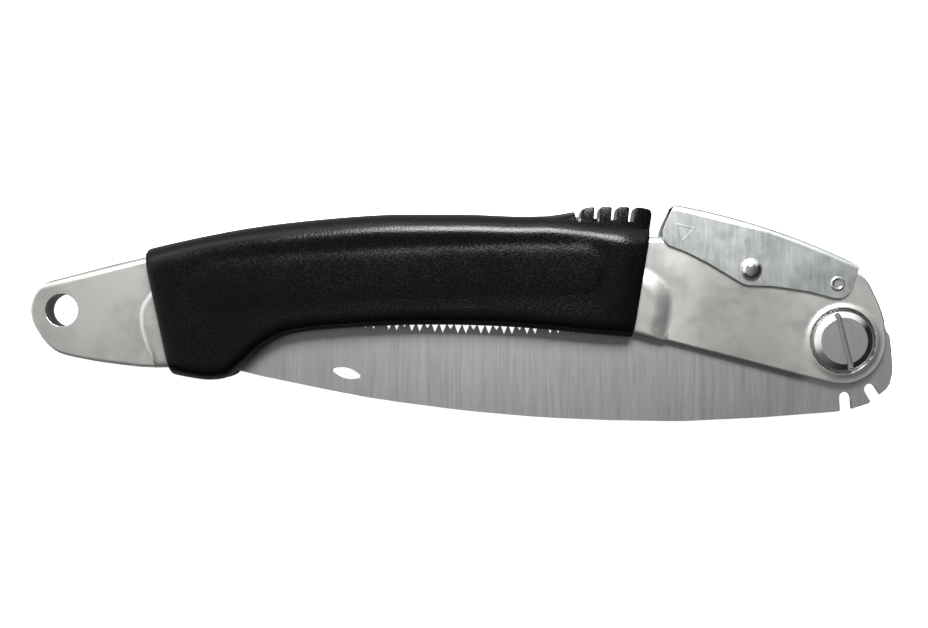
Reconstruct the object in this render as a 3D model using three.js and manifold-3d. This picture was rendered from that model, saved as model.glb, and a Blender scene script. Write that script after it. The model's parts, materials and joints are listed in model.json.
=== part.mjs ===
// A folding pruning saw, closed and lying on its side.
//
// Millimetres. X runs along the saw from the tail to the head, Y across it from the blade's back
// to the spine, and Z through its thickness. Everything is drawn about the axis on which the
// blade turns, with Z = 0 at the middle of the blade. The finished group is then moved so that
// the saw rests on Z = 0 with the middle of its bounding box on the Z axis.
import * as THREE from 'three';
import { mergeVertices } from 'three/addons/utils/BufferGeometryUtils.js';
import { ParametricGeometry } from 'three/addons/geometries/ParametricGeometry.js';
import Module from 'manifold-3d';

const wasm = await Module();
wasm.setup();

// ---------------------------------------------------------------- driving dimensions

// Fits
const FACE_GAP = 0.05;        // between flat faces that bear on each other
const TURN_GAP = 0.15;        // round a shaft that turns
const MOULD_GAP = 0.3;        // between the rubber and the casting that it grips
const SLIDE_GAP = 0.2;        // beside a face that passes another

// Blade
const BLADE_REACH = 262;      // pivot axis to tip
const BLADE_THICK = 1.5;
const EDGE_RADIUS = 759;      // curve of the line along the bottoms of the gullets
const EDGE_LOW = 2.6;         // nearest that this line comes to the level of the pivot
const HEEL_X = -20;           // where the teeth begin
const TOOTH_DEPTH = 3.7;
const TOOTH_GROUP = 9.1;      // length of one group of three teeth
const TANG_RIM = 18.6;        // radius of the tang where it faces the lever
const HOOK_SWEEP = 28;        // outermost corner of the lock hooks, from the pivot
const NOTCH_OPEN = -85.4;     // directions of the two lock notches on the closed blade, degrees
const NOTCH_BENT = -58.7;

// Pivot
const SLEEVE_RADIUS = 5;      // the nut's sleeve, on which the blade turns
const SCREW_SHANK = 3.2;
const SCREW_HEAD = 11.5;
const SCREW_FACE = 9.05;      // flat of the head inside its chamfer
const SCREW_RISE = 3.2;       // height of the head
const SCREW_SLOT = 2.1;
const SCREW_SLOT_TURN = 104.3;
const WASHER_RADIUS = 11;
const WASHER_THICK = 0.7;
const NUT_ACROSS_FLATS = 16;
const DISC_SPRING_RISE = 1;   // of the conical washer under the nut
const DISC_SPRING_THICK = 0.6;

// Casting
const HEAD_THICK = 8.4;
const HEAD_RADIUS = 17.4;     // round end of the head, about the pivot
const RECESS_DEPTH = 1.2;     // sinks the screw head and the nut into the head's faces
const RING_WIDTH = 3.2;       // soft raised ring round each recess
const RING_RISE = 0.45;
const CORE_THICK = 12;        // part of the casting that the rubber covers
const TAIL_THICK = 10;
const GRIP_SLOT = 7.4;        // width of the blade slot along the grip
const SLOT_ROOM = 2;          // from the tooth tips to the top of the slot
const SPINE_WALL = 4;         // metal over the hollow of the grip
const SPINE_Y = 40.8;         // top edge of the head behind the lever
const SPINE_FILLET = 2.4;     // along the head's top edge, next to the rubber
const TAIL_FILLET = 3;        // along the tail's top edge
const LANYARD_RADIUS = 6.35;
const LANYARD_BACK = 33;      // from the rear of the rubber to the lanyard hole
const LANYARD_Y = 12;
const LANYARD_RIM = 6.3;      // metal round the hole at the end of the tail

// Rubber grip
const GRIP_FRONT = -76;       // front edge of the rubber at mid height
const GRIP_THICK = 23;
const TIP_ROOM = 4;           // from the blade's tip to the end of its slot
const SLOT_END_WALL = 6;      // from the end of the slot to the rear edge of the rubber
const RUBBER_WALL = 4.6;      // rubber over the casting's top edge
const RUBBER_LIP = 2.4;       // rubber under the casting's lower edges

// Lock lever
const RIVET = new THREE.Vector2(-36.2, 27.9);
const RIVET_SHANK = 2;
const RIVET_DOME = 4.2;
const RIVET_RISE = 2.2;
const RIVET_SLEEVE_WALL = 1;
const LEVER_SHEET = 1.2;
const LEVER_BEND = 2.3;       // outside radius between the top and the cheeks
const LEVER_CROWN = 269;      // curve of the lever's top, seen from the side
const LEVER_TOP_END = 3.5;    // the top stops here, clear of the open blade; the cheeks go on
const LEVER_LIFT = 14;        // travel, degrees
const PIN_POINT = new THREE.Vector2(-2.6, 22.3);
const PIN_RADIUS = 2.15;
const PIN_ROOM = 0.45;        // round the pin in its curved slot through the casting
const HOOK_ROOM = 0.9;        // outside the lock hooks inside the head
const SPRING_THICK = 0.6;

// ---------------------------------------------------------------- worked out from those

const bladeFace = BLADE_THICK / 2;
const headSlot = bladeFace + WASHER_THICK + 2 * FACE_GAP;
const headFace = HEAD_THICK / 2;
const coreFace = CORE_THICK / 2;
const tailFace = TAIL_THICK / 2;
const gripSlot = GRIP_SLOT / 2;
const gripFace = GRIP_THICK / 2;
const recessFloor = headFace - RECESS_DEPTH;
const boreRadius = SLEEVE_RADIUS + TURN_GAP;
const recessRadius = SCREW_HEAD + 1;
const slotEnd = -(BLADE_REACH + TIP_ROOM);
const gripRear = slotEnd - SLOT_END_WALL;
const gripLength = GRIP_FRONT - gripRear;
const lanyard = new THREE.Vector2(gripRear - LANYARD_BACK, LANYARD_Y);
const cheekInside = headFace + SLIDE_GAP;
const cheekFace = cheekInside + LEVER_SHEET;
const notchRadius = PIN_RADIUS + 0.08;
const notchCentre = PIN_POINT.length();
const edgeLowX = -BLADE_REACH * 0.488;
const springHookX = GRIP_FRONT + 10.5;
const beyond = 60;            // reaches past everything, for a cut that has to go right through

// ---------------------------------------------------------------- outlines and solids

const rad = THREE.MathUtils.degToRad;
const lerp = THREE.MathUtils.lerp;
const at = (x, y) => new THREE.Vector2(x, y);
const list = (pairs) => pairs.map(([x, y]) => at(x, y));

// Points on an arc about a centre, from one direction to another in degrees.
function arc(centre, radius, from, to, steps) {
  return Array.from({ length: steps + 1 }, (_, i) => {
    const a = rad(lerp(from, to, i / steps));
    return at(centre.x + radius * Math.cos(a), centre.y + radius * Math.sin(a));
  });
}

// A smooth curve through hand-set points.
const flow = (pairs, steps) => new THREE.SplineCurve(list(pairs)).getPoints(steps);

// A smooth height along a line of stations: pairs of station and height.
function profile(pairs) {
  const stations = Float32Array.from(pairs, (p) => p[0]);
  const heights = Float32Array.from(pairs, (p) => p[1]);
  const curve = new THREE.CubicInterpolant(stations, heights, 1, new Float32Array(1));
  return (station) => curve.evaluate(station)[0];
}

// A strip of even thickness along a path, as a closed outline.
function ribbon(path, thickness) {
  const side = (sign) => path.map((p, i) => {
    const before = path[Math.max(i - 1, 0)];
    const after = path[Math.min(i + 1, path.length - 1)];
    const along = after.clone().sub(before).normalize();
    return at(p.x - along.y * sign * thickness / 2, p.y + along.x * sign * thickness / 2);
  });
  return [...side(-1), ...side(1).reverse()];
}

function toSolid(geometry) {
  geometry.deleteAttribute('normal');
  geometry.deleteAttribute('uv');
  const merged = mergeVertices(geometry, 1e-5);
  const index = Array.from(merged.index.array);
  const triVerts = [];
  for (let i = 0; i < index.length; i += 3) {
    const [a, b, c] = index.slice(i, i + 3);
    if (a !== b && b !== c && c !== a) triVerts.push(a, b, c);
  }
  return new wasm.Manifold(new wasm.Mesh({
    numProp: 3,
    vertProperties: new Float32Array(merged.attributes.position.array),
    triVerts: new Uint32Array(triVerts),
  }));
}

// A plate with the given outline between two heights. Its rims can be rounded off by `edge`
// across and `drop` down.
function plate(outline, low, high, edge = 0, drop = edge, steps = 2) {
  const geometry = new THREE.ExtrudeGeometry(new THREE.Shape(outline), {
    depth: high - low - 2 * drop,
    steps: 1,
    bevelEnabled: edge > 0,
    bevelThickness: drop,
    bevelSize: edge,
    bevelOffset: -edge,
    bevelSegments: steps,
  });
  return toSolid(geometry.translate(0, 0, low + drop));
}

function disc(centre, radius, low, high, sides = 32) {
  const geometry = new THREE.CylinderGeometry(radius, radius, high - low, sides);
  return toSolid(geometry.rotateX(Math.PI / 2).translate(centre.x, centre.y, (low + high) / 2));
}

// A turned shape about a Z axis: pairs of radius and height, from axis to axis or closed.
function turned(centre, pairs, sides = 36) {
  const geometry = new THREE.LatheGeometry(list(pairs), sides);
  return toSolid(geometry.rotateX(Math.PI / 2).translate(centre.x, centre.y, 0));
}

function block(x0, x1, y0, y1, z0, z1) {
  const geometry = new THREE.BoxGeometry(x1 - x0, y1 - y0, z1 - z0);
  return toSolid(geometry.translate((x0 + x1) / 2, (y0 + y1) / 2, (z0 + z1) / 2));
}

const join = (solids) => solids.reduce((whole, next) => whole.add(next));
const cut = (solid, tools) => tools.reduce((rest, tool) => rest.subtract(tool), solid);
const pivot = at(0, 0);

// ---------------------------------------------------------------- shared lines

// Bottoms of the gullets on the closed blade.
const gulletLine = (x) => EDGE_LOW + (x - edgeLowX) ** 2 / (2 * EDGE_RADIUS);
const slotTop = (x) => gulletLine(x) + TOOTH_DEPTH + SLOT_ROOM;

// Top and lower edges of the rubber, against the share of its length from front to rear.
const gripTopAt = profile([
  [-0.02, 50.4], [0.01, 51.9], [0.07, 52.2], [0.122, 52], [0.15, 50.6], [0.215, 48.9], [0.364, 49.5],
  [0.514, 49.5], [0.693, 46.8], [0.812, 43.7], [0.987, 36.6], [1.02, 35],
]);
const gripLowAt = profile([
  [0, 0.6], [0.031, 1.2], [0.124, 2.9], [0.287, 5.6], [0.449, 6.3], [0.612, 4.9], [0.693, 3.3],
  [0.727, 1.7], [0.767, -2.8], [0.808, -9.8], [0.832, -13.6], [0.869, -15.1], [0.91, -14.3],
  [0.95, -12.8], [1, -11],
]);
const share = (x) => (GRIP_FRONT - x) / gripLength;
const station = (s) => GRIP_FRONT - s * gripLength;
const gripTop = (x) => gripTopAt(share(x));
const gripLow = (x) => gripLowAt(share(x));

// Lower edge of the head: a straight line that leaves the round end at a tangent and meets the
// rubber's front corner.
const headCorner = at(GRIP_FRONT - 3.7, 2.8);
const headTangent = THREE.MathUtils.radToDeg(
  headCorner.angle() + Math.acos(HEAD_RADIUS / headCorner.length())) - 360;
const headTangentPoint = arc(pivot, HEAD_RADIUS, headTangent, headTangent, 1)[0];
const headLow = (x) => lerp(headTangentPoint.y, headCorner.y,
  (x - headTangentPoint.x) / (headCorner.x - headTangentPoint.x));

// ---------------------------------------------------------------- casting

// Each outline can be grown a little, which gives the room it needs inside the rubber.
function headOutline(grow = 0) {
  return [
    at(GRIP_FRONT - 16, 14),
    at(headCorner.x, headCorner.y - grow),
    ...arc(pivot, HEAD_RADIUS, headTangent, 14, 14),
    ...flow([[16.4, 8.4], [14.6, 14], [12.3, 18.9], [10.5, 22.5], [8.3, 25.2], [6.3, 26.6]], 8),
    ...flow([[0, 28.8], [-12, 32.4], [-30, 37.4], [-50, SPINE_Y + grow]], 8),
    at(GRIP_FRONT - 16, SPINE_Y + grow),
  ];
}

function tailOutline(grow = 0) {
  const low = flow([
    [lanyard.x - 11.4, 6.6], [lanyard.x - 8.2, 1.4], [lanyard.x - 3.6, -3.4], [lanyard.x + 1, -5.5],
    [lanyard.x + 8.4, -7.1], [lanyard.x + 15.9, -8.4], [lanyard.x + 30.7, -10.2 - grow],
    [lanyard.x + 41.6, -10.5 - grow],
  ], 14);
  return [
    ...low,
    at(lanyard.x + 50, 0),
    at(lanyard.x + 46, 30),
    at(lanyard.x + 37, 34.1 + grow),
    at(lanyard.x + 31.6, 32.8 + grow),
    ...arc(lanyard, LANYARD_RADIUS + LANYARD_RIM, 108, 196, 7),
  ];
}

function coreOutline(grow = 0) {
  const front = flow([
    [GRIP_FRONT + 7.2, headLow(GRIP_FRONT + 7.2)], [GRIP_FRONT + 8.9, 7], [GRIP_FRONT + 9.8, 12.5],
    [GRIP_FRONT + 9.8, 17], [GRIP_FRONT + 8.6, 21], [GRIP_FRONT + 6, 24.6], [GRIP_FRONT + 2, 27.6],
    [GRIP_FRONT - 2.5, 30.2], [GRIP_FRONT - 8, 35], [GRIP_FRONT - 15, 43.5 + grow],
  ], 16);
  const top = Array.from({ length: 12 }, (_, i) => {
    const x = station(lerp(0.14, 0.93, i / 11));
    return at(x, gripTop(x) - RUBBER_WALL + grow);
  });
  const rear = flow([
    [gripRear + 7, 30], [gripRear + 4, 23], [gripRear + 1, 18.8], [gripRear - 2, 14.5],
    [gripRear - 3, 10.2], [gripRear - 2.6, 5], [gripRear - 1, -1], [gripRear + 1.2, -6],
    [gripRear + 3.4, -10.3],
  ], 14);
  const low = Array.from({ length: 16 }, (_, i) => {
    const x = station(lerp(0.95, 0.06, i / 15));
    return at(x, Math.max(gripLow(x) + RUBBER_LIP, gripLow(x + 3) + RUBBER_LIP, -10.3) - grow);
  });
  return [...front, ...top, ...rear, ...low, at(headCorner.x, headCorner.y)];
}

// Everything between the two cheeks of the casting that the blade moves through.
function slotOutline(from, to) {
  const roof = Array.from({ length: 15 }, (_, i) => {
    const x = lerp(from, to, i / 14);
    return at(x, slotTop(x));
  });
  return [at(to, -beyond), ...roof.reverse(), at(from, -beyond)];
}

// The grip is cast as a channel, hollow above the blade.
function hollowOutline() {
  const from = slotEnd + 16;
  const to = GRIP_FRONT - 18;
  const side = (height) => Array.from({ length: 11 }, (_, i) => {
    const x = lerp(from, to, i / 10);
    return at(x, height(x));
  });
  return [...side((x) => slotTop(x) - 1), ...side((x) => gripTop(x) - RUBBER_WALL - SPINE_WALL).reverse()];
}

function pinPath() {
  const arm = PIN_POINT.clone().sub(RIVET);
  const start = THREE.MathUtils.radToDeg(Math.atan2(arm.y, arm.x));
  return arc(RIVET, arm.length(), start, start + LEVER_LIFT + 6, 6);
}

// The head, with a wider round along its spine than round the rest of its outline.
function headBody() {
  const spineEnd = GRIP_FRONT + 24;
  const cap = [
    at(GRIP_FRONT - 30, -beyond), at(beyond, -beyond), at(beyond, beyond),
    at(spineEnd + 12, SPINE_Y + 14), at(spineEnd, SPINE_Y), at(GRIP_FRONT - 30, SPINE_Y),
  ];
  return plate(headOutline(), -headFace, headFace, 1)
    .intersect(plate(cap, -headFace, headFace, SPINE_FILLET, SPINE_FILLET, 4));
}

function tailBody() {
  const rise = Math.tan(rad(14));
  const topAt = (x) => 32.8 + (x - lanyard.x - 31.6) * rise;
  const [left, right] = [lanyard.x - 40, lanyard.x + 60];
  const cap = [at(left, -beyond), at(right, -beyond), at(right, topAt(right)), at(left, topAt(left))];
  return plate(tailOutline(), -tailFace, tailFace, 1.4)
    .intersect(plate(cap, -tailFace, tailFace, TAIL_FILLET, TAIL_FILLET, 4));
}

// A low soft ring on each face of the head, steeper on its inner side. Both lie on one drum.
function recessRing() {
  const shares = [[1, 0], [0.62, 0.25], [0.38, 0.75], [0.2, 1], [0.05, 0.9], [0, 0.9]];
  const crest = shares.map(([across, up]) => [recessRadius + across * RING_WIDTH, headFace + up * RING_RISE]);
  const upper = [...crest.slice(0, -1), [0, crest[crest.length - 1][1]]];
  return turned(pivot, [...upper.map(([radius, z]) => [radius, -z]).reverse(), ...upper], 44);
}

function makeFrame() {
  const slotStep = GRIP_FRONT + 4;
  const body = join([
    headBody(),
    tailBody(),
    plate(coreOutline(), -coreFace, coreFace, 3, coreFace - headFace, 3),
    recessRing(),
  ]);
  return cut(body, [
    disc(pivot, recessRadius, recessFloor, beyond, 44),
    disc(pivot, recessRadius, -beyond, -recessFloor, 44),
    disc(pivot, boreRadius, -beyond, beyond),
    plate(slotOutline(slotEnd, slotStep), -gripSlot, gripSlot),
    plate(hollowOutline(), -gripSlot, gripSlot),
    plate(slotOutline(slotStep - 1, HEEL_X), -headSlot, headSlot),
    disc(pivot, HOOK_SWEEP + HOOK_ROOM, -headSlot, headSlot, 48),
    disc(RIVET, RIVET_SHANK + RIVET_SLEEVE_WALL + TURN_GAP, -beyond, beyond, 28),
    disc(PIN_POINT, PIN_RADIUS + PIN_ROOM, -beyond, beyond, 28),
    plate(ribbon(pinPath(), 2 * (PIN_RADIUS + PIN_ROOM)), -beyond, beyond),
    disc(lanyard, LANYARD_RADIUS, -beyond, beyond, 36),
    block(springHookX - 1, springHookX + 1, SPINE_Y - 2.8, beyond, -beyond, beyond),
  ]);
}

// ---------------------------------------------------------------- rubber grip

// One ring of the grip's skin: a rounded section that is flat on both sides, leaning with the
// front and rear edges of the rubber. `inset` draws it in where the ends are rounded over.
function gripRing(along, around, inset, target) {
  const top = station(along * 1.005) + lerp(1.5, 0.4, along);
  const foot = lerp(GRIP_FRONT - 6.3, gripRear + 9.6, along);
  const high = gripTop(top) - inset;
  const low = gripLow(foot) + inset;
  const half = gripFace - inset - 1.6 * Math.max(0, 1 - Math.min(along, 1 - along) / 0.06) ** 2;
  const corners = [[1, 1], [-1, 1], [-1, -1], [1, -1]];
  const quarter = Math.floor(around * 4) % 4;
  const turn = rad(90 * (around * 4 - Math.floor(around * 4)) * 1.25);
  const [sideZ, sideY] = corners[quarter];
  const reachY = sideY > 0 ? 9.5 : 6;
  const reachZ = sideY > 0 ? 9 : 6;
  const swing = Math.min(turn, Math.PI / 2);
  const inZ = quarter % 2 ? Math.sin(swing) : Math.cos(swing);
  const inY = quarter % 2 ? Math.cos(swing) : Math.sin(swing);
  const z = sideZ * (half - reachZ + reachZ * inZ);
  const y = sideY > 0 ? high - reachY + reachY * inY : low + reachY - reachY * inY;
  const x = lerp(foot, top, (y - low) / (high - low));
  target.set(x, y, z);
}

function makeGrip() {
  const around = 28;
  const along = 34;
  const ends = [[0, 1.5], [0.002, 0.5], [0.007, 0]];
  const rings = [
    ...ends,
    ...Array.from({ length: along - 7 }, (_, i) => [lerp(0.02, 0.98, i / (along - 8)), 0]),
    ...ends.map(([s, inset]) => [1 - s, inset]).reverse(),
  ];
  const last = rings.length + 1;
  const skin = new ParametricGeometry((u, v, target) => {
    const k = Math.round(v * last);
    const [s, inset] = rings[THREE.MathUtils.clamp(k - 1, 0, rings.length - 1)];
    gripRing(s, u % 1, inset, target);
    if (k === 0 || k === last) {
      const x = station(s);
      target.set(x + (k ? 3 : -3), (gripTop(x) + gripLow(x)) / 2, 0);
    }
  }, around, last);
  const ridgeGaps = [[-27.3, 48.2], [-20, 47.6], [-13.2, 47], [-6.4, 46.3]].map(([x, floor]) =>
    plate(list([
      [GRIP_FRONT + x + 0.75, floor], [GRIP_FRONT + x + 1.25, floor + 12],
      [GRIP_FRONT + x - 1.25, floor + 12], [GRIP_FRONT + x - 0.75, floor],
    ]), -beyond, beyond));
  return cut(toSolid(skin), [
    plate(coreOutline(MOULD_GAP), -coreFace - MOULD_GAP, coreFace + MOULD_GAP),
    plate(headOutline(MOULD_GAP), -headFace - MOULD_GAP, headFace + MOULD_GAP),
    plate(tailOutline(MOULD_GAP), -tailFace - MOULD_GAP, tailFace + MOULD_GAP),
    plate(slotOutline(slotEnd - MOULD_GAP, GRIP_FRONT + 6), -gripSlot - 0.5, gripSlot + 0.5),
    ...ridgeGaps,
  ]);
}

// A soft stop under the roof of the slot, on which the folded blade's edge comes to rest.
function makeBumper() {
  const from = -BLADE_REACH + 6;
  const to = from + 12;
  const width = gripSlot - 0.3;
  const line = (rise) => [from, (from + to) / 2, to].map((x) => at(x, slotTop(x) - rise));
  return plate([...line(SLOT_ROOM - 0.3), ...line(0.1).reverse()], -width, width);
}

// ---------------------------------------------------------------- blade

// Tooth edge from heel to tip: groups of two deep gullets and one shallow gullet.
function toothEdge() {
  const group = [[0, 0], [0.173, 1], [0.346, 0], [0.51, 1], [0.67, 0.4], [0.835, 1]];
  const groups = Math.floor((BLADE_REACH * 0.985 + HEEL_X) / TOOTH_GROUP);
  const points = [];
  for (let g = 0; g < groups; g += 1) {
    for (const [s, rise] of group) {
      const x = HEEL_X - (g + s) * TOOTH_GROUP;
      const slope = (x - edgeLowX) / EDGE_RADIUS;
      const height = rise * TOOTH_DEPTH;
      points.push(at(x - slope * height, gulletLine(x) + height));
    }
  }
  return points;
}

function lockNotch(direction) {
  const a = rad(direction);
  const mouth = [at(notchCentre + 20, notchRadius), at(notchCentre + 20, -notchRadius)];
  const outline = [...arc(at(notchCentre, 0), notchRadius, 90, 270, 10), ...mouth.reverse()];
  return plate(outline.map((p) => p.rotateAround(pivot, a)), -beyond, beyond);
}

function makeBlade() {
  const r = BLADE_REACH;
  const teeth = toothEdge();
  const tip = teeth[teeth.length - 1];
  const back = flow([
    [-r * 0.996, gulletLine(-r) - 1], [-r, 8], [-r * 0.985, -1], [-r * 0.95, -7.2], [-r * 0.901, -11.9],
    [-r * 0.811, -17.1], [-r * 0.721, -21.8], [-r * 0.631, -25.3], [-r * 0.541, -28.1],
    [-r * 0.45, -30.1], [-r * 0.36, -31.2], [-74.7, -31.6], [-58.9, -31.6], [-35.3, -30.5],
    [-17.6, -29.3], [-1.8, -HOOK_SWEEP],
  ], 34);
  const outline = [
    ...teeth,
    at(tip.x - 2, tip.y),
    ...back,
    ...list([[5, -26.7], [10.8, -24.9], [15.6, -21.2], [18.3, -19], [19.7, -16.7], [20.5, -13.1]]),
    ...flow([[20.6, -9.5], [20.2, -3.5], [19.5, 1.9]], 4),
    ...arc(pivot, TANG_RIM, 12, 140, 12),
  ];
  const lens = [
    ...arc(at(0, -8), 10.2, 57, 123, 8),
    ...arc(at(0, 8), 10.2, 237, 303, 8),
  ].map((p) => at(p.x - r * 0.742, p.y - 12.8).rotateAround(at(-r * 0.742, -12.8), rad(-14)));
  return cut(plate(outline, -bladeFace, bladeFace), [
    disc(pivot, boreRadius, -beyond, beyond),
    lockNotch(NOTCH_OPEN),
    lockNotch(NOTCH_BENT),
    plate(lens, -beyond, beyond),
  ]);
}

// ---------------------------------------------------------------- pivot

function makeWasher(side) {
  const near = bladeFace + FACE_GAP;
  const far = near + WASHER_THICK;
  return turned(pivot, [
    [boreRadius, side * near], [WASHER_RADIUS, side * near], [WASHER_RADIUS, side * far],
    [boreRadius, side * far], [boreRadius, side * near],
  ].map((p, i, all) => (side > 0 ? p : all[all.length - 1 - i])));
}

function makeScrew() {
  const seat = recessFloor + FACE_GAP;
  const top = recessFloor + SCREW_RISE;
  const body = turned(pivot, [
    [0, -headFace - 1], [SCREW_SHANK - 0.5, -headFace - 1], [SCREW_SHANK, -headFace - 0.5],
    [SCREW_SHANK, seat], [SCREW_HEAD, seat], [SCREW_HEAD, top - 1.5], [SCREW_FACE, top], [0, top],
  ], 64);
  const half = SCREW_SLOT / 2;
  const slot = list([
    [-beyond, -half], [beyond, -half], [beyond, half], [-beyond, half],
  ]).map((p) => p.rotateAround(pivot, rad(SCREW_SLOT_TURN)));
  return cut(body, [plate(slot, top - 1.3, beyond)]);
}

function makeSpringWasher() {
  const base = -recessFloor - FACE_GAP;
  const thick = DISC_SPRING_THICK;
  return turned(pivot, [
    [boreRadius, base - DISC_SPRING_RISE], [SCREW_FACE, base - thick], [SCREW_FACE, base],
    [boreRadius, base - DISC_SPRING_RISE + thick], [boreRadius, base - DISC_SPRING_RISE],
  ]);
}

function makeNut() {
  const face = -recessFloor - DISC_SPRING_RISE - 2 * FACE_GAP;
  const corner = NUT_ACROSS_FLATS / Math.sqrt(3);
  const flange = disc(pivot, corner, face - 0.8, face, 48);
  const hexagon = disc(pivot, corner, face - 3, face, 6);
  const sleeve = disc(pivot, SLEEVE_RADIUS, face - 0.1, recessFloor - FACE_GAP);
  return cut(join([flange, hexagon, sleeve]), [
    disc(pivot, SCREW_SHANK + TURN_GAP, -beyond, beyond),
  ]);
}

// ---------------------------------------------------------------- lock lever

const leverCrown = (drop) => {
  const rear = at(-65.6, 53.3);
  const front = at(6.4, 29.6);
  const middle = rear.clone().add(front).multiplyScalar(0.5);
  const chord = front.clone().sub(rear);
  const fall = Math.sqrt(LEVER_CROWN ** 2 - (chord.length() / 2) ** 2);
  const normal = at(-chord.y, chord.x).normalize();
  const centre = middle.clone().addScaledVector(normal, -fall);
  const angle = (p) => THREE.MathUtils.radToDeg(p.clone().sub(centre).angle());
  return arc(centre, LEVER_CROWN - drop, angle(front) - (drop ? 2 : 0), angle(rear) + (drop ? 2 : 0), 14);
};

function makeLever() {
  const crown = leverCrown(0);
  const cheek = [
    ...crown,
    ...flow([[-66.6, 52.2], [-68.4, 48.4], [-70.7, 42.8], [-70.4, 40], [-68.3, 37.3]], 8),
    ...flow([[-62, 34.9], [-53.4, 30.6], [-42, 23.8], [-39.1, 22.2], [-36.4, 21.6]], 8),
    ...flow([[-27.7, 21.3], [-13.4, 19.2], [-4.8, 16.9], [-1.8, 16.6], [-0.2, 16.9], [2, 18.5],
      [3.2, 20.6], [5.7, 27.4]], 14),
  ];
  const skirt = 40;
  const cap = [...crown, at(-65.6 - skirt, 53.3 + skirt / 4), at(-65.6 - skirt, -skirt),
    at(6.4 + skirt, -skirt), at(6.4 + skirt, 29.6 - skirt / 2.6)];
  const inner = [...leverCrown(LEVER_SHEET), at(-65.6 - skirt, -skirt), at(6.4 + skirt, -skirt)];
  const shell = plate(cheek, -cheekFace, cheekFace)
    .intersect(plate(cap, -cheekFace, cheekFace, LEVER_BEND, LEVER_BEND, 4));
  return cut(shell, [
    plate(inner, -cheekInside, cheekInside),
    block(LEVER_TOP_END, beyond, 0, beyond, -cheekInside, cheekInside),
    disc(RIVET, RIVET_SHANK + TURN_GAP, -beyond, beyond, 28),
    disc(PIN_POINT, PIN_RADIUS + FACE_GAP, -beyond, beyond, 28),
  ]);
}

function makeRivet() {
  const seat = cheekFace + FACE_GAP;
  const rim = 0.7;
  const dome = [1, 0.92, 0.76, 0.52, 0.26].map((s) =>
    [RIVET_DOME * s, seat + rim + (RIVET_RISE - rim) * Math.sqrt(1 - s * s)]);
  const upper = [[RIVET_SHANK, seat], [RIVET_DOME, seat], ...dome, [0, seat + RIVET_RISE]];
  const lower = upper.map(([radius, z]) => [radius, -z]).reverse();
  return turned(RIVET, [...lower, ...upper], 24);
}

function makeRivetSleeve() {
  const inside = RIVET_SHANK + 0.1;
  const outside = RIVET_SHANK + RIVET_SLEEVE_WALL;
  const end = cheekInside - FACE_GAP;
  return turned(RIVET, [
    [inside, -end], [outside, -end], [outside, end], [inside, end], [inside, -end],
  ], 28);
}

// The lock pin's two ends. Each stops just short of the blade's face.
function makePinEnd(side) {
  const inner = bladeFace + SLIDE_GAP;
  const seat = cheekFace + FACE_GAP;
  const shape = [
    [0, inner], [PIN_RADIUS, inner], [PIN_RADIUS, seat], [PIN_RADIUS + 0.7, seat],
    [PIN_RADIUS + 0.6, seat + 0.25], [PIN_RADIUS, seat + 0.35], [PIN_RADIUS - 0.3, seat + 0.6],
    [0, seat + 0.75],
  ];
  const pairs = side > 0 ? shape : shape.map(([radius, z]) => [radius, -z]).reverse();
  return turned(PIN_POINT, pairs, 20);
}

// A folded leaf that lies on the spine and pushes the rear of the lever up.
function makeLeverSpring() {
  const rest = SPINE_Y + SPRING_THICK / 2 + 0.1;
  const fold = at(GRIP_FRONT + 27, rest + 1.9);
  const path = [
    at(springHookX, SPINE_Y - 2.2),
    at(springHookX, rest - 0.7),
    at(springHookX + 0.7, rest),
    ...arc(fold, 1.9, -90, 100, 8),
    ...flow([[fold.x - 5, fold.y + 3.6], [fold.x - 10, fold.y + 6.2], [fold.x - 13, fold.y + 7],
      [fold.x - 16, fold.y + 6.6]], 8),
  ];
  const width = cheekInside - 0.8;
  return plate(ribbon(path, SPRING_THICK), -width, width);
}

// ---------------------------------------------------------------- assembly

const cast = new THREE.MeshStandardMaterial({ color: 0xb9bdbc, roughness: 0.42, metalness: 0.9 });
const plated = new THREE.MeshStandardMaterial({ color: 0x9a9da0, roughness: 0.3, metalness: 1 });
const polished = new THREE.MeshStandardMaterial({ color: 0xc4c6c8, roughness: 0.16, metalness: 1 });
const ground = new THREE.MeshStandardMaterial({ color: 0x85888a, roughness: 0.34, metalness: 1 });
const spring = new THREE.MeshStandardMaterial({ color: 0x6f7376, roughness: 0.35, metalness: 1 });
const rubber = new THREE.MeshStandardMaterial({ color: 0x1c1d1e, roughness: 0.85, metalness: 0 });
const bronze = new THREE.MeshStandardMaterial({ color: 0xa9813f, roughness: 0.4, metalness: 1 });

const saw = new THREE.Group();

function place(name, solid, material) {
  const { vertProperties, triVerts } = solid.getMesh();
  const geometry = new THREE.BufferGeometry();
  geometry.setAttribute('position', new THREE.BufferAttribute(vertProperties, 3));
  geometry.setIndex(new THREE.BufferAttribute(triVerts, 1));
  geometry.computeVertexNormals();
  const mesh = new THREE.Mesh(geometry, material);
  mesh.name = name;
  saw.add(mesh);
}

place('frame', makeFrame(), cast);
place('grip_sleeve', makeGrip(), rubber);
place('blade_bumper', makeBumper(), rubber);
place('blade', makeBlade(), ground);
place('washer_front', makeWasher(1), bronze);
place('washer_rear', makeWasher(-1), bronze);
place('pivot_screw', makeScrew(), polished);
place('pivot_nut', makeNut(), plated);
place('spring_washer', makeSpringWasher(), spring);
place('lock_lever', makeLever(), plated);
place('lever_rivet', makeRivet(), polished);
place('rivet_sleeve', makeRivetSleeve(), plated);
place('lock_pin_front', makePinEnd(1), polished);
place('lock_pin_rear', makePinEnd(-1), polished);
place('lever_spring', makeLeverSpring(), spring);

const bounds = new THREE.Box3().setFromObject(saw);
const middle = bounds.getCenter(new THREE.Vector3());
saw.position.set(-middle.x, -middle.y, -bounds.min.z);
saw.updateMatrixWorld(true);

export default saw;
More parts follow.
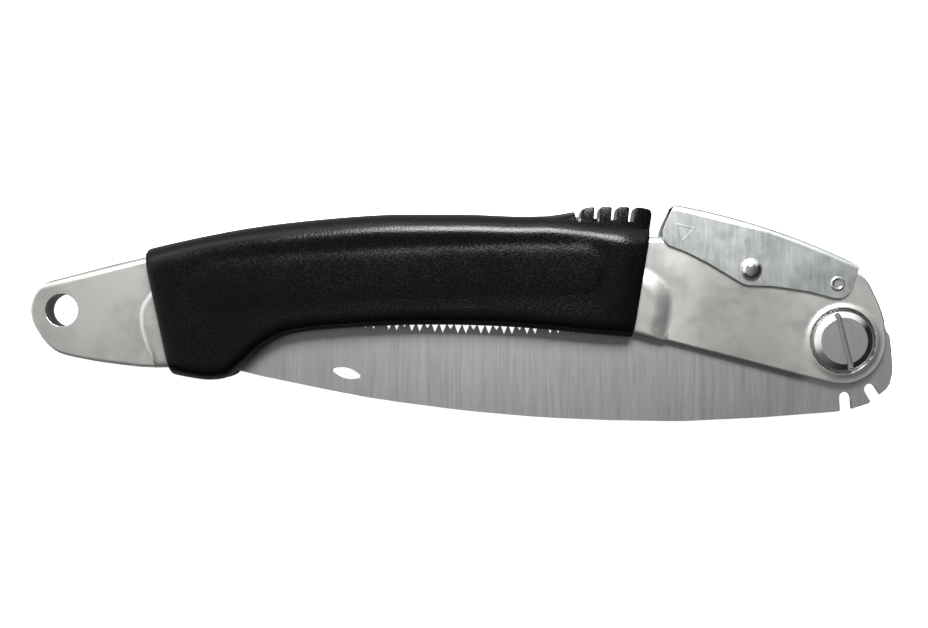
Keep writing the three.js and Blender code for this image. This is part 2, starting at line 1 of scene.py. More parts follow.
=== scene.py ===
# %% [markdown]
# # A folding pruning saw
# This lesson dresses a folding saw that lies closed on its side: a satin die-cast frame with
# a long rubber grip over its middle, a ground blade folded into it, a pressed lever over the
# head, and a slotted pivot screw. The frame file gives the parts, bodies and pivots. The grip,
# the screw, the rivet, the pin ends and the mark on the lever are modelled here.
# Lengths are millimetres, and places are counted from the middle of the blade's pivot.

import json
import math

import bpy
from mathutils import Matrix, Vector


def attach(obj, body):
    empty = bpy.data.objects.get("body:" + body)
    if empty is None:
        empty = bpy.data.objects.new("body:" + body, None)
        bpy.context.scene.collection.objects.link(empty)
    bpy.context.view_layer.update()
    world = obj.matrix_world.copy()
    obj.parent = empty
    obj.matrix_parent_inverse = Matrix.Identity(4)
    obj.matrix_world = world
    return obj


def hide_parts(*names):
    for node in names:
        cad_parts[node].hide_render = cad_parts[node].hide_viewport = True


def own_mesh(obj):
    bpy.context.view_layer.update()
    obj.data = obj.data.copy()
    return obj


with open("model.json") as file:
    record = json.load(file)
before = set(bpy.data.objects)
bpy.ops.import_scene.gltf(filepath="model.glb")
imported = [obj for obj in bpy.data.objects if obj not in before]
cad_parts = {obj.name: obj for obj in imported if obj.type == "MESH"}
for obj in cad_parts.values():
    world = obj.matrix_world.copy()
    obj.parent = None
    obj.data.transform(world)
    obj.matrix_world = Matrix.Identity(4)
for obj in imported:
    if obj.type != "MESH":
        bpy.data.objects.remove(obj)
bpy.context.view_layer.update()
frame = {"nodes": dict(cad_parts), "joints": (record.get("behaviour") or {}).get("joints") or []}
nodes = frame["nodes"]
axis_of = {j["name"]: Vector(j["pos_m"]) for j in frame["joints"]}
PIVOT = axis_of["blade_pivot"]
RIVET = axis_of["lock_lever_pivot"]
print("nodes:", sorted(nodes))
print("blade turns about", tuple(round(v, 4) for v in PIVOT))

# %% [markdown]
# ## Places and hands
# A workshop drawing of a saw counts from the pivot, so `spot` does the same. The other helpers
# are the few moves that every piece needs: take a piece in hand, copy a part of the frame,
# break its sharp edges, and shade it. Breaking edges matters most on metal, because a real
# edge always catches a thin line of light and a perfect one never does.

# %% Small helpers
MM = 0.001


def spot(x, y, z=0.0):
    """A place in millimetres from the middle of the pivot."""
    return PIVOT + Vector((x, y, z)) * MM


def hold(piece):
    """Makes a piece the only one selected."""
    bpy.ops.object.select_all(action="DESELECT")
    piece.select_set(True)
    bpy.context.view_layer.objects.active = piece


def edit(piece, *moves):
    """Runs edit mode moves on the whole of a piece."""
    hold(piece)
    bpy.ops.object.mode_set(mode="EDIT")
    bpy.ops.mesh.select_all(action="SELECT")
    for move in moves:
        move()
    bpy.ops.object.mode_set(mode="OBJECT")


def apply(piece, kind, **settings):
    """Adds one modifier and applies it."""
    hold(piece)
    modifier = piece.modifiers.new(kind.lower(), kind)
    for key, value in settings.items():
        setattr(modifier, key, value)
    bpy.ops.object.modifier_apply(modifier=modifier.name)


def copy_of(node, name):
    """A copy of a frame part with its loose triangles merged and its flat faces made whole."""
    piece = bpy.data.objects.new(name, nodes[node].data.copy())
    bpy.context.scene.collection.objects.link(piece)
    edit(
        piece,
        lambda: bpy.ops.mesh.remove_doubles(threshold=1e-6),
        lambda: bpy.ops.mesh.dissolve_limited(angle_limit=math.radians(1)),
    )
    return piece


def break_edges(piece, width, angle, segments=2):
    """Rounds the edges that are sharper than an angle."""
    apply(
        piece,
        "BEVEL",
        width=width * MM,
        segments=segments,
        limit_method="ANGLE",
        angle_limit=math.radians(angle),
        use_clamp_overlap=False,
    )


def shade(piece, angle, flats=True):
    """Smooth shading up to an angle, with flat faces kept flat."""
    hold(piece)
    bpy.ops.object.shade_smooth_by_angle(angle=math.radians(angle))
    if flats:
        apply(piece, "WEIGHTED_NORMAL", keep_sharp=True, weight=80)


def finish_piece(piece, body, *stands_for, finish, slot):
    """Gives a piece its finish and its body, and hides the frame parts it stands for."""
    piece.data.materials.clear()
    piece.data.materials.append(finish)
    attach(piece, body)
    if stands_for:
        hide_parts(*stands_for)
    print(f"{piece.name}: {len(piece.data.polygons)} faces on {body}")


# %% [markdown]
# ## The camera
# The saw is seen from straight above with a normal lens, held near enough that the thick
# grip stands out a little more than the thin tail. A long lens from further away would
# flatten it, so the distance is kept at 460 mm from the blade.

# %% Camera
camera = bpy.data.objects.new("camera", bpy.data.cameras.new("camera"))
bpy.context.scene.collection.objects.link(camera)
camera.location = spot(-148.1, 10.5, 460)
camera.data.lens = 45.26
camera.data.sensor_width = 36
camera.data.clip_start = 0.01
bpy.context.scene.camera = camera
print("camera at", tuple(round(v, 3) for v in camera.location))

# %% [markdown]
# ## Studio light
# Bare metal shows little colour of its own: it shows the room. A white tent overhead gives the
# flat faces their even grey. A small bright box, half way up behind the spine, draws the band
# along the rubber's shoulder. Behind it a pale wall and a long low box whiten chamfers and
# rounded edges. The side nearest to the blade's back is left dark, which gives the chamfer of
# the screw its black lower half.

# %% World and lamps
bpy.context.scene.view_settings.view_transform = "Standard"


def put(tree, kind, values=None, **settings):
    """Adds a node. A socket among the values is linked, and anything else is set."""
    node = tree.nodes.new(kind)
    for key, value in settings.items():
        setattr(node, key, value)
    for key, value in (values or {}).items():
        if isinstance(value, bpy.types.NodeSocket):
            tree.links.new(value, node.inputs[key])
        else:
            node.inputs[key].default_value = value
    return node


def sums(tree, operation, *values, clamp=False):
    """One step of arithmetic on values or sockets."""
    node = put(
        tree, "ShaderNodeMath", dict(enumerate(values)), operation=operation, use_clamp=clamp
    )
    return node.outputs[0]


def ramp(tree, value, low, high, to_low=0.0, to_high=1.0):
    """Carries a value from one range to another, smoothly and without leaving it."""
    node = put(
        tree,
        "ShaderNodeMapRange",
        {"Value": value, 1: low, 2: high, 3: to_low, 4: to_high},
        interpolation_type="SMOOTHSTEP",
    )
    return node.outputs[0]


world = bpy.data.worlds.new("studio tent")
world.use_nodes = True
bpy.context.scene.world = world
sky = world.node_tree
sky.nodes.clear()
way = put(sky, "ShaderNodeTexCoord").outputs["Generated"]
parts = put(sky, "ShaderNodeSeparateXYZ", {0: way}).outputs
lift = ramp(sky, parts["Z"], 0.35, 0.93)
from_spine = ramp(sky, parts["Y"], -0.8, 0.6)
from_tail = ramp(sky, parts["X"], 0.7, -0.6)
from_tail = sums(sky, "MULTIPLY_ADD", from_tail, 0.25, 0.02)
side = sums(sky, "MULTIPLY_ADD", from_spine, 0.1, from_tail)
overhead = sums(sky, "MULTIPLY_ADD", lift, side, 0.02)
slant = sums(sky, "MULTIPLY_ADD", parts["Y"], 0.87, sums(sky, "MULTIPLY", parts["X"], -0.5))
low_down = ramp(sky, parts["Z"], 0.86, 0.6)
wall = sums(sky, "MULTIPLY", ramp(sky, slant, -0.2, 0.4), low_down)
glow = sums(sky, "MULTIPLY_ADD", wall, 1.1, overhead)
backdrop = put(sky, "ShaderNodeBackground", {"Color": (1, 1, 0.985, 1), "Strength": glow})
put(sky, "ShaderNodeOutputWorld", {0: backdrop.outputs[0]})


def softbox(name, place, aim, width, height, power):
    lamp = bpy.data.lights.new(name, "AREA")
    lamp.shape = "RECTANGLE"
    lamp.size = width
    lamp.size_y = height
    lamp.energy = power
    box = bpy.data.objects.new(name, lamp)
    bpy.context.scene.collection.objects.link(box)
    box.location = place
    box.rotation_euler = (aim - place).to_track_quat("-Z", "Y").to_euler()


middle = spot(-148, 15)
softbox("key_box", middle + Vector((0.06, 0.535, 0.66)), middle, 0.34, 0.34, 16.0)
softbox("long_box", middle + Vector((-0.25, 0.78, 0.36)), middle, 1.3, 0.3, 2.0)

# %% [markdown]
# ## The floor
# A sheet of white board, lit a little from below like a light table, which keeps it clean and
# its shadows faint. It stays plain, so that it never competes with the saw. Metal would mirror
# so much white and its edges would melt into the board, so what the saw sees of it is grey,
# as if dark cards lay close round it, outside the picture.

# %% Floor
bpy.ops.object.select_all(action="DESELECT")
bpy.ops.mesh.primitive_plane_add(size=4, location=(0, 0, -0.0002))
floor = bpy.context.object
floor.name = "floor"
board = bpy.data.materials.new("white_board")
board.use_nodes = True
sheet = board.node_tree
fibre = put(sheet, "ShaderNodeTexNoise", {"Scale": 60.0, "Detail": 4.0}).outputs[0]
skin = sheet.nodes["Principled BSDF"]
seen = put(sheet, "ShaderNodeLightPath").outputs["Is Camera Ray"]
tone = put(sheet, "ShaderNodeMix", {"Factor": seen}, data_type="RGBA")
tone.inputs[6].default_value = (0.16, 0.16, 0.155, 1)
tone.inputs[7].default_value = (0.93, 0.93, 0.92, 1)
glow_below = ramp(sheet, seen, 0.0, 1.0, 0.1, 0.92)
matt = ramp(sheet, fibre, 0.3, 0.7, 0.75, 0.85)
sheet.links.new(tone.outputs[2], skin.inputs["Base Color"])
sheet.links.new(glow_below, skin.inputs["Emission Strength"])
sheet.links.new(matt, skin.inputs["Roughness"])
skin.inputs["Specular IOR Level"].default_value = 0.2
skin.inputs["Emission Color"].default_value = (1, 1, 1, 1)
floor.data.materials.append(board)
print("floor at z", floor.location.z)

# %% [markdown]
# ## Shared finishes
# Six small effects are each a node group with its own knobs, and most serve several materials.
# The patterns read object coordinates, in metres, so a scale of 2000 makes grains of half a
# millimetre. `edge_wear` compares the face's direction with the same direction after an
# imaginary rounding: they differ only near an edge, where handling rubs a part bright.
# The crevice group asks how much of the open sky a spot sees. It is strongest in corners, and
# the materials use it to paint shade there: the darkening that falls in corners, put into the colour.

# %% Group maker and edge wear
def new_group(name, inputs, outputs):
    """An empty node group, with its input sockets to read and its output sockets to fill."""
    tree = bpy.data.node_groups.new(name, "ShaderNodeTree")
    for label, kind, default in inputs:
        socket = tree.interface.new_socket(
            name=label, in_out="INPUT", socket_type="NodeSocket" + kind
        )
        if default is not None:
            socket.default_value = default
    for label in outputs:
        tree.interface.new_socket(name=label, in_out="OUTPUT", socket_type="NodeSocketFloat")
    ends = tree.nodes.new("NodeGroupInput"), tree.nodes.new("NodeGroupOutput")
    return tree, ends[0].outputs, ends[1].inputs


edge_wear, knob, out = new_group(
    "edge_wear",
    [("Vector", "Vector", None), ("Width", "Float", 0.0005), ("Breakup", "Float", 0.5)],
    ["Mask"],
)
rounded = put(edge_wear, "ShaderNodeBevel", {"Radius": knob["Width"]}, samples=4)
true_way = put(edge_wear, "ShaderNodeNewGeometry").outputs["Normal"]
match = put(
    edge_wear,
    "ShaderNodeVectorMath",
    {0: rounded.outputs[0], 1: true_way},
    operation="DOT_PRODUCT",
)
near_edge = ramp(edge_wear, sums(edge_wear, "SUBTRACT", 1.0, match.outputs["Value"]), 0.0, 0.12)
rub = put(edge_wear, "ShaderNodeTexNoise", {"Vector": knob["Vector"], "Scale": 400.0, "Detail": 3.0})
patchy = sums(edge_wear, "MULTIPLY_ADD", rub.outputs[0], knob["Breakup"], 0.5, clamp=True)
edge_wear.links.new(sums(edge_wear, "MULTIPLY", near_edge, patchy), out["Mask"])

# A mask of the shade that falls in corners and between parts; the materials paint it into their colour
# as painted shade.
crevice_shade, knob, out = new_group(
    "crevice_shade", [("Reach", "Float", 0.0015), ("Depth", "Float", 1.0)], ["Mask"]
)
open_sky = put(
    crevice_shade,
    "ShaderNodeAmbientOcclusion",
    {"Distance": knob["Reach"]},
    samples=6,
    only_local=True,
)
hidden = ramp(crevice_shade, open_sky.outputs["AO"], 0.95, 0.35)
crevice_shade.links.new(sums(crevice_shade, "MULTIPLY", hidden, knob["Depth"], clamp=True), out["Mask"])
print("groups:", edge_wear.name, crevice_shade.name)

# %% [markdown]
# Brushed metal is a bundle of long fine scratches: noise that has been stretched far along one
# way. Speckle is the opposite, even in every direction, and stands for the pits that glass
# beads leave on a casting. Leather grain is rounded cells with creases between them, which is
# how the mould for the rubber is etched. Handling is broad and cloudy, for fingers and dust.

# %% Grain, speckle, leather and handling
def noise(tree, where, scale, detail, roughness=0.5):
    values = {"Vector": where, "Scale": scale, "Detail": detail, "Roughness": roughness}
    return put(tree, "ShaderNodeTexNoise", values).outputs[0]


def blend_of(tree, main, main_share, other, other_share):
    """Adds two patterns, each by its share."""
    return sums(
        tree, "MULTIPLY_ADD", other, other_share, sums(tree, "MULTIPLY", main, main_share)
    )


brushed, knob, out = new_group(
    "brushed_grain",
    [("Vector", "Vector", None), ("Stretch", "Vector", (3000, 120, 120))],
    ["Height", "Tone"],
)
pulled = put(
    brushed, "ShaderNodeVectorMath", {0: knob["Vector"], 1: knob["Stretch"]}, operation="MULTIPLY"
).outputs[0]
fine = noise(brushed, pulled, 1.0, 5.0, 0.7)
wide = noise(brushed, pulled, 0.23, 2.0)
brushed.links.new(fine, out["Height"])
brushed.links.new(blend_of(brushed, fine, 0.8, wide, 0.2), out["Tone"])

speckle, knob, out = new_group(
    "speckle", [("Vector", "Vector", None), ("Scale", "Float", 2200.0)], ["Height", "Tone"]
)
pits = noise(speckle, knob["Vector"], knob["Scale"], 3.0, 0.6)
clouds = noise(speckle, knob["Vector"], sums(speckle, "MULTIPLY", knob["Scale"], 0.12), 2.0)
speckle.links.new(pits, out["Height"])
speckle.links.new(blend_of(speckle, pits, 0.65, clouds, 0.35), out["Tone"])

leather, knob, out = new_group(
    "leather_grain", [("Vector", "Vector", None), ("Scale", "Float", 1500.0)], ["Height", "Crease"]
)
WANDER = 0.6 * MM
wander = put(
    leather,
    "ShaderNodeTexNoise",
    {
        "Vector": knob["Vector"],
        "Scale": sums(leather, "MULTIPLY", knob["Scale"], 0.5),
        "Detail": 2.0,
    },
)
bent = put(
    leather,
    "ShaderNodeVectorMath",
    {0: wander.outputs["Color"], 1: (WANDER, WANDER, WANDER), 2: knob["Vector"]},
    operation="MULTIPLY_ADD",
)
cells = put(
    leather,
    "ShaderNodeTexVoronoi",
    {"Vector": bent.outputs[0], "Scale": knob["Scale"], "Smoothness": 0.4},
    feature="SMOOTH_F1",
)
pebble = sums(leather, "SUBTRACT", 1.0, cells.outputs["Distance"])
grit = noise(leather, knob["Vector"], sums(leather, "MULTIPLY", knob["Scale"], 2.3), 2.0)
leather.links.new(sums(leather, "MULTIPLY_ADD", grit, 0.35, pebble), out["Height"])
leather.links.new(ramp(leather, cells.outputs["Distance"], 0.35, 0.75), out["Crease"])

handling, knob, out = new_group(
    "handling", [("Vector", "Vector", None), ("Scale", "Float", 40.0)], ["Mask"]
)
cloud = noise(handling, knob["Vector"], knob["Scale"], 6.0, 0.62)
handling.links.new(ramp(handling, cloud, 0.38, 0.68), out["Mask"])
print("groups:", sorted(g.name for g in bpy.data.node_groups))

# %% [markdown]
# ## Materials
# Each material starts with the same three nodes: object coordinates, a Principled shader and
# its output. Mixing two colours by a mask is the move made most often, so it has a helper.

# %% Material starters
def start(name, metallic, roughness, specular=0.5):
    """A new material with its tree, its shader and its coordinates."""
    finish = bpy.data.materials.new(name)
    finish.use_nodes = True
    tree = finish.node_tree
    shader = tree.nodes["Principled BSDF"]
    shader.inputs["Metallic"].default_value = metallic
    shader.inputs["Roughness"].default_value = roughness
    shader.inputs["Specular IOR Level"].default_value = specular
    where = put(tree, "ShaderNodeTexCoord").outputs["Object"]
    return finish, tree, shader, where


def use(tree, group, **knobs):
    """Puts a group into a material, with its knobs set or linked."""
    node = tree.nodes.new("ShaderNodeGroup")
    node.node_tree = group
    for key, value in knobs.items():
        if isinstance(value, bpy.types.NodeSocket):
            tree.links.new(value, node.inputs[key])
        else:
            node.inputs[key].default_value = value
    return node.outputs


def mix(tree, mask, a, b):
    """Colour a where the mask is black, and colour b where it is white."""
    node = put(tree, "ShaderNodeMix", {"Factor": mask}, data_type="RGBA")
    for socket, value in ((node.inputs[6], a), (node.inputs[7], b)):
        if isinstance(value, bpy.types.NodeSocket):
            tree.links.new(value, socket)
        else:
            socket.default_value = (*value, 1)
    return node.outputs[2]


def dent(tree, shader, height, depth_mm, strength):
    """Presses a pattern into the surface as a bump."""
    values = {"Height": height, "Distance": depth_mm * MM, "Strength": strength}
    node = put(tree, "ShaderNodeBump", values)
    tree.links.new(node.outputs[0], shader.inputs["Normal"])


def upright(tree):
    """How nearly a face looks straight up or down, from 0 to 1."""
    way = put(tree, "ShaderNodeNewGeometry").outputs["Normal"]
    return sums(tree, "ABSOLUTE", put(tree, "ShaderNodeSeparateXYZ", {0: way}).outputs["Z"])


# %% [markdown]
# The casting is zinc or aluminium alloy, blasted with glass beads and then plated or lacquered
# satin. Its grey leans a very little to green. Beads round the edges off and leave them
# brighter, and palms polish the broad faces in soft clouds. The middle of the head is painted
# darker as painted shade, and corners, recesses and places close to other parts get painted shade.

# %% Cast alloy
def make_cast():
    finish, tree, shader, where = start("cast_alloy", 1.0, 0.4)
    grain = use(tree, speckle, Vector=where, Scale=2600.0)
    wear = use(tree, edge_wear, Vector=where, Width=0.0007, Breakup=0.7)["Mask"]
    palms = use(tree, handling, Vector=where, Scale=45.0)["Mask"]
    base = mix(tree, grain["Tone"], (0.63, 0.655, 0.62), (0.81, 0.83, 0.79))
    cloudy = mix(tree, palms, base, (0.7, 0.715, 0.69))
    along = put(tree, "ShaderNodeSeparateXYZ", {0: where}).outputs["X"]
    past_core = ramp(tree, along, spot(-68, 0).x, spot(-50, 0).x)
    before_screw = ramp(tree, along, spot(-10, 0).x, spot(-32, 0).x)
    middle_of_head = sums(tree, "MULTIPLY", past_core, before_screw)
    # Painted shade: the middle of the head is darkened in the colour.
    head_shaded = mix(tree, sums(tree, "MULTIPLY", middle_of_head, 0.55), cloudy, (0.4, 0.41, 0.39))
    # Painted shade: the colour is darkened in corners and recesses, and nearly to black where other
    # parts stand close.
    corner_shaded = mix(tree, use(tree, crevice_shade, Reach=0.001, Depth=0.45)["Mask"], head_shaded, (0.2, 0.2, 0.18))
    worn = mix(tree, wear, corner_shaded, (0.92, 0.93, 0.91))
    deep_shaded = mix(tree, use(tree, crevice_shade, Reach=0.02, Depth=0.95)["Mask"], worn, (0.06, 0.056, 0.05))
    tree.links.new(deep_shaded, shader.inputs["Base Color"])
    rough = sums(tree, "MULTIPLY_ADD", palms, -0.06, 0.37)
    rough = sums(tree, "MULTIPLY_ADD", wear, -0.12, rough)
    tree.links.new(rough, shader.inputs["Roughness"])
    dent(tree, shader, grain["Height"], 0.014, 0.45)
    return finish


cast_alloy = make_cast()
print(cast_alloy.name)

# %% [markdown]
# The lever is pressed from sheet and brushed by a belt before it is nickel plated, so its
# scratches all run the same way, across the saw. The plating is a shade darker than the
# casting and a little shinier.

# %% Plated sheet
def make_plated(name, stretch, base_low, base_high, roughness):
    finish, tree, shader, where = start(name, 1.0, roughness)
    grain = use(tree, brushed, Vector=where, Stretch=stretch)
    wear = use(tree, edge_wear, Vector=where, Width=0.0005, Breakup=0.6)["Mask"]
    palms = use(tree, handling, Vector=where, Scale=60.0)["Mask"]
    base = mix(tree, grain["Tone"], base_low, base_high)
    # Painted shade: the colour is darkened in corners and gaps, and nearly to black where other parts
    # stand close.
    corner_shaded = mix(tree, use(tree, crevice_shade, Reach=0.0015, Depth=0.8)["Mask"], base, (0.05, 0.05, 0.05))
    worn = mix(tree, wear, corner_shaded, (0.92, 0.93, 0.93))
    deep_shaded = mix(tree, use(tree, crevice_shade, Reach=0.02, Depth=1.0)["Mask"], worn, (0.02, 0.02, 0.02))
    tree.links.new(deep_shaded, shader.inputs["Base Color"])
    rough = sums(tree, "MULTIPLY_ADD", grain["Tone"], 0.16, roughness - 0.08)
    tree.links.new(sums(tree, "MULTIPLY_ADD", palms, 0.06, rough), shader.inputs["Roughness"])
    dent(tree, shader, grain["Height"], 0.012, 0.45)
    return finish


plated_sheet = make_plated(
    "plated_sheet", (2200, 130, 2200), (0.53, 0.56, 0.55), (0.68, 0.71, 0.7), 0.31
)
spring_steel = make_plated(
    "spring_steel", (160, 3000, 3000), (0.3, 0.31, 0.32), (0.46, 0.47, 0.48), 0.33
)
print(plated_sheet.name, spring_steel.name)

# %% [markdown]
# The screw, the rivet and the ends of the lock pin are turned and polished. The flat of the
# screw is faced on a lathe and left a little duller than its chamfer, and a few scratches
# cross it. The slot floor and the corners are darkened in the colour as painted shade.

# %% Polished steel
def make_polished(name, faced):
    finish, tree, shader, where = start(name, 1.0, 0.12)
    flat = sums(tree, "MULTIPLY", ramp(tree, upright(tree), 0.97, 0.995), faced)
    grain = use(tree, brushed, Vector=where, Stretch=(3200, 260, 3200))
    palms = use(tree, handling, Vector=where, Scale=160.0)["Mask"]
    facing = mix(tree, grain["Tone"], (0.72, 0.72, 0.72), (0.95, 0.95, 0.94))
    metal = mix(tree, flat, (0.86, 0.87, 0.88), facing)
    # Painted shade: the colour is darkened in the slot, the recesses and the corners.
    corner_shaded = mix(tree, use(tree, crevice_shade, Reach=0.0016, Depth=0.85)["Mask"], metal, (0.06, 0.058, 0.055))
    tree.links.new(corner_shaded, shader.inputs["Base Color"])
    dull = sums(tree, "MULTIPLY_ADD", grain["Tone"], 0.1, 0.24)
    sharp = sums(tree, "MULTIPLY_ADD", palms, 0.06, 0.08)
    rough = put(tree, "ShaderNodeMix", {"Factor": flat, "A": sharp, "B": dull}, data_type="FLOAT")
    tree.links.new(rough.outputs[0], shader.inputs["Roughness"])
    dent(tree, shader, grain["Height"], 0.01, 0.35)
    return finish


polished_steel = make_polished("polished_steel", 0.0)
faced_steel = make_polished("faced_steel", 1.0)
print(polished_steel.name, faced_steel.name)

# %% [markdown]
# The blade is hard chrome over tool steel, taper ground across its length: the wheel leaves
# thousands of fine parallel lines from edge to back, with wide faint bands where it dwelt. The
# tang, under the head, is ground again finer and lighter so that it turns freely. Its rims and
# broken edges are left bright.

# %% Ground blade
def make_ground():
    finish, tree, shader, where = start("ground_steel", 1.0, 0.38)
    grain = use(tree, brushed, Vector=where, Stretch=(2600, 60, 60))
    bands = put(
        tree, "ShaderNodeVectorMath", {0: where, 1: (150, 3, 3)}, operation="MULTIPLY"
    ).outputs[0]
    dwell = noise(tree, bands, 1.0, 3.0)
    place = put(tree, "ShaderNodeSeparateXYZ", {0: where}).outputs["X"]
    tang = ramp(tree, place, spot(-17, 0).x, spot(-11, 0).x)
    slanted = ramp(tree, upright(tree), 0.99, 0.9)
    plain = mix(tree, grain["Tone"], (0.28, 0.285, 0.29), (0.49, 0.495, 0.5))
    banded = mix(tree, ramp(tree, dwell, 0.3, 0.7, 0.0, 0.45), plain, (0.43, 0.435, 0.445))
    lighter = mix(tree, tang, banded, (0.78, 0.79, 0.8))
    wear = use(tree, edge_wear, Vector=where, Width=0.0003, Breakup=0.4)["Mask"]
    bright = sums(tree, "MAXIMUM", slanted, wear)
    tree.links.new(mix(tree, bright, lighter, (0.8, 0.81, 0.82)), shader.inputs["Base Color"])
    rough = sums(tree, "MULTIPLY_ADD", grain["Tone"], 0.2, 0.3)
    rough = sums(tree, "MULTIPLY_ADD", tang, -0.1, rough)
    tree.links.new(sums(tree, "MULTIPLY_ADD", bright, -0.15, rough), shader.inputs["Roughness"])
    dent(tree, shader, grain["Height"], 0.012, 0.5)
    return finish


ground_steel = make_ground()
print(ground_steel.name)

# %% [markdown]
# The grip is soft black rubber. Its mould is etched with a fine leather grain, which breaks
# its shine into sparks. Creases keep a trace of grey dust, and the parts that fingers wrap
# round are rubbed a little smoother.

# %% Rubber
def make_rubber():
    finish, tree, shader, where = start("rubber", 0.0, 0.3, 0.2)
    grain = use(tree, leather, Vector=where, Scale=1500.0)
    palms = use(tree, handling, Vector=where, Scale=30.0)["Mask"]
    base = mix(tree, grain["Crease"], (0.0008, 0.001, 0.0011), (0.0022, 0.0024, 0.0026))
    tree.links.new(mix(tree, palms, base, (0.0012, 0.0014, 0.0015)), shader.inputs["Base Color"])
    rough = sums(tree, "MULTIPLY_ADD", grain["Crease"], 0.12, 0.2)
    tree.links.new(sums(tree, "MULTIPLY_ADD", palms, -0.05, rough), shader.inputs["Roughness"])
    dent(tree, shader, grain["Height"], 0.08, 0.45)
    return finish


rubber = make_rubber()
print(rubber.name)

# %% [markdown]
# Bronze washers lie between the blade and the casting. Only their rims show. Oil and steel
# dust stain them brown and grey in patches.

# %% Bronze
def make_bronze():
    finish, tree, shader, where = start("bronze", 1.0, 0.35)
    stain = use(tree, handling, Vector=where, Scale=300.0)["Mask"]
    grain = use(tree, speckle, Vector=where, Scale=4000.0)
    base = mix(tree, stain, (0.5, 0.31, 0.12), (0.24, 0.17, 0.1))
    tree.links.new(mix(tree, grain["Tone"], base, (0.42, 0.29, 0.14)), shader.inputs["Base Color"])
    tree.links.new(sums(tree, "MULTIPLY_ADD", stain, 0.2, 0.3), shader.inputs["Roughness"])
    dent(tree, shader, grain["Height"], 0.01, 0.4)
    return finish


bronze = make_bronze()
print(bronze.name)

# %% [markdown]
# ## The rubber grip
# The grip is one long moulding that wraps the casting like a C, open below where the blade
# folds in. It is lofted: the same section is drawn again and again from front to rear while
# its height follows two flowing lines, and the sections are joined. A share is how far along
# the grip a section lies, from 0 at the front to 1 at the rear. A grid of the right
# number of rows and columns is added, and each of its points is then set on its section. That
# gives even, fine faces where a moulded relief has to be soft.

# %% The two flowing lines
def through(pairs):
    """A smooth line through given pairs of place and height, as a function of the place."""
    at = [pair[0] for pair in pairs]
    h = [pair[1] for pair in pairs]

    def height(place):
        place = min(max(place, at[0]), at[-1])
        i = max(k for k in range(len(at) - 1) if at[k] <= place)
        a, b = at[i], at[i + 1]
        before, h_before = (at[i - 1], h[i - 1]) if i else (b, h[i + 1])
        after, h_after = (at[i + 2], h[i + 2]) if i + 2 < len(at) else (a, h[i])
        half = (b - a) / 2
        pull_before = half / (a - before)
        pull_after = half / (after - b)
        p = (place - a) / (b - a)
        return (
            h_before * (-pull_before * p**3 + 2 * pull_before * p**2 - pull_before * p)
            + h[i]
            * (
                (1 + pull_before) * p**3
                + (-1.5 - 2 * pull_before) * p**2
                + (-0.5 + pull_before) * p
                + 1
            )
            + h[i + 1] * ((-1 - pull_after) * p**3 + (1.5 + pull_after) * p**2 + 0.5 * p)
            + h_after * (pull_after * p**3 - pull_after * p**2)
        )

    return height


GRIP_FRONT, GRIP_REAR, GRIP_HALF = -76.0, -272.0, 11.5
GRIP_LONG = GRIP_FRONT - GRIP_REAR
top_by_share = through([
    (-0.02, 50.4), (0.01, 51.9), (0.07, 52.2), (0.122, 52), (0.15, 50.6), (0.215, 48.9), (0.364, 49.5),
    (0.514, 49.5), (0.693, 46.8), (0.812, 43.7), (0.987, 36.6), (1.02, 35),
])
low_by_share = through([
    (0, 0.6), (0.031, 1.2), (0.124, 2.9), (0.287, 5.6), (0.449, 6.3), (0.612, 4.9), (0.693, 3.3),
    (0.727, 1.7), (0.767, -2.8), (0.808, -9.8), (0.832, -13.6), (0.869, -15.1), (0.91, -14.3),
    (0.95, -12.8), (1, -11),
])


def grip_top(x):
    return top_by_share((GRIP_FRONT - x) / GRIP_LONG)


def grip_low(x):
    return low_by_share((GRIP_FRONT - x) / GRIP_LONG)


shoulder_by_share = through([
    (-0.02, 44.6), (0.02, 45.2), (0.06, 46), (0.114, 46.9), (0.17, 48.2), (0.215, 48.9), (0.364, 49.5),
])
SHOULDER_HIGH, SHOULDER_WIDE, SHOULDER_STEPS = 9.5, 9, 12
# The flank of a thumb ridge: the share of its height, and how far inside the skin it stands.
RIB = [(0, 4.5), (0.3, 4.6), (0.65, 4.7), (0.93, 5), (1, 5.9)]
RIB_FULL = 4.5


def shoulder(share, high, half):
    """The rounded shoulder, and above it in front the upright flank of the thumb rest."""
    crest = min(high, shoulder_by_share(share))
    arch = [math.radians(90 * k / SHOULDER_STEPS) for k in range(SHOULDER_STEPS + 1)]
    points = [
        (
            crest - SHOULDER_HIGH + SHOULDER_HIGH * math.sin(a),
            half - SHOULDER_WIDE + SHOULDER_WIDE * math.cos(a),
        )
        for a in arch
    ]
    blend = min(1, (high - crest) / RIB_FULL)
    rib_start = len(points) - len(RIB)
    foot = points[rib_start][0]
    for k, (rise, inward) in enumerate(RIB, rib_start):
        y, z = points[k]
        points[k] = (
            y + (foot + rise * (high - foot) - y) * blend,
            z + (half - inward - z) * blend,
        )
    return points


middle_high = grip_top(-150) - grip_low(-150)
print("grip is", GRIP_LONG, "long and", round(middle_high, 1), "high in the middle")

# %% [markdown]
# The sides carry a long raised panel with round ends, set off by a soft valley all round it.
# Fingers feel it as a swell in the middle of the grip. The valley is a function of the
# distance from the panel's border, so it has the same soft shape on the straight runs and
# round the ends.

# %% Relief of the sides
panel_line = through([(-262, 19.8), (-250, 21), (-196, 25.2), (-135, 27.8), (-93, 28), (-80, 28)])
PANEL_REAR, PANEL_FRONT, PANEL_HALF, PANEL_CROWN = -244, -103, 10.2, 0.25
VALLEY_DEEP, VALLEY_WIDE = 0.36, 3.0
LOWER_VALLEY = 0.3


def share_between(value, low, high):
    """0 below a range, 1 above it, and rising evenly in between."""
    return min(max((value - low) / (high - low), 0), 1)


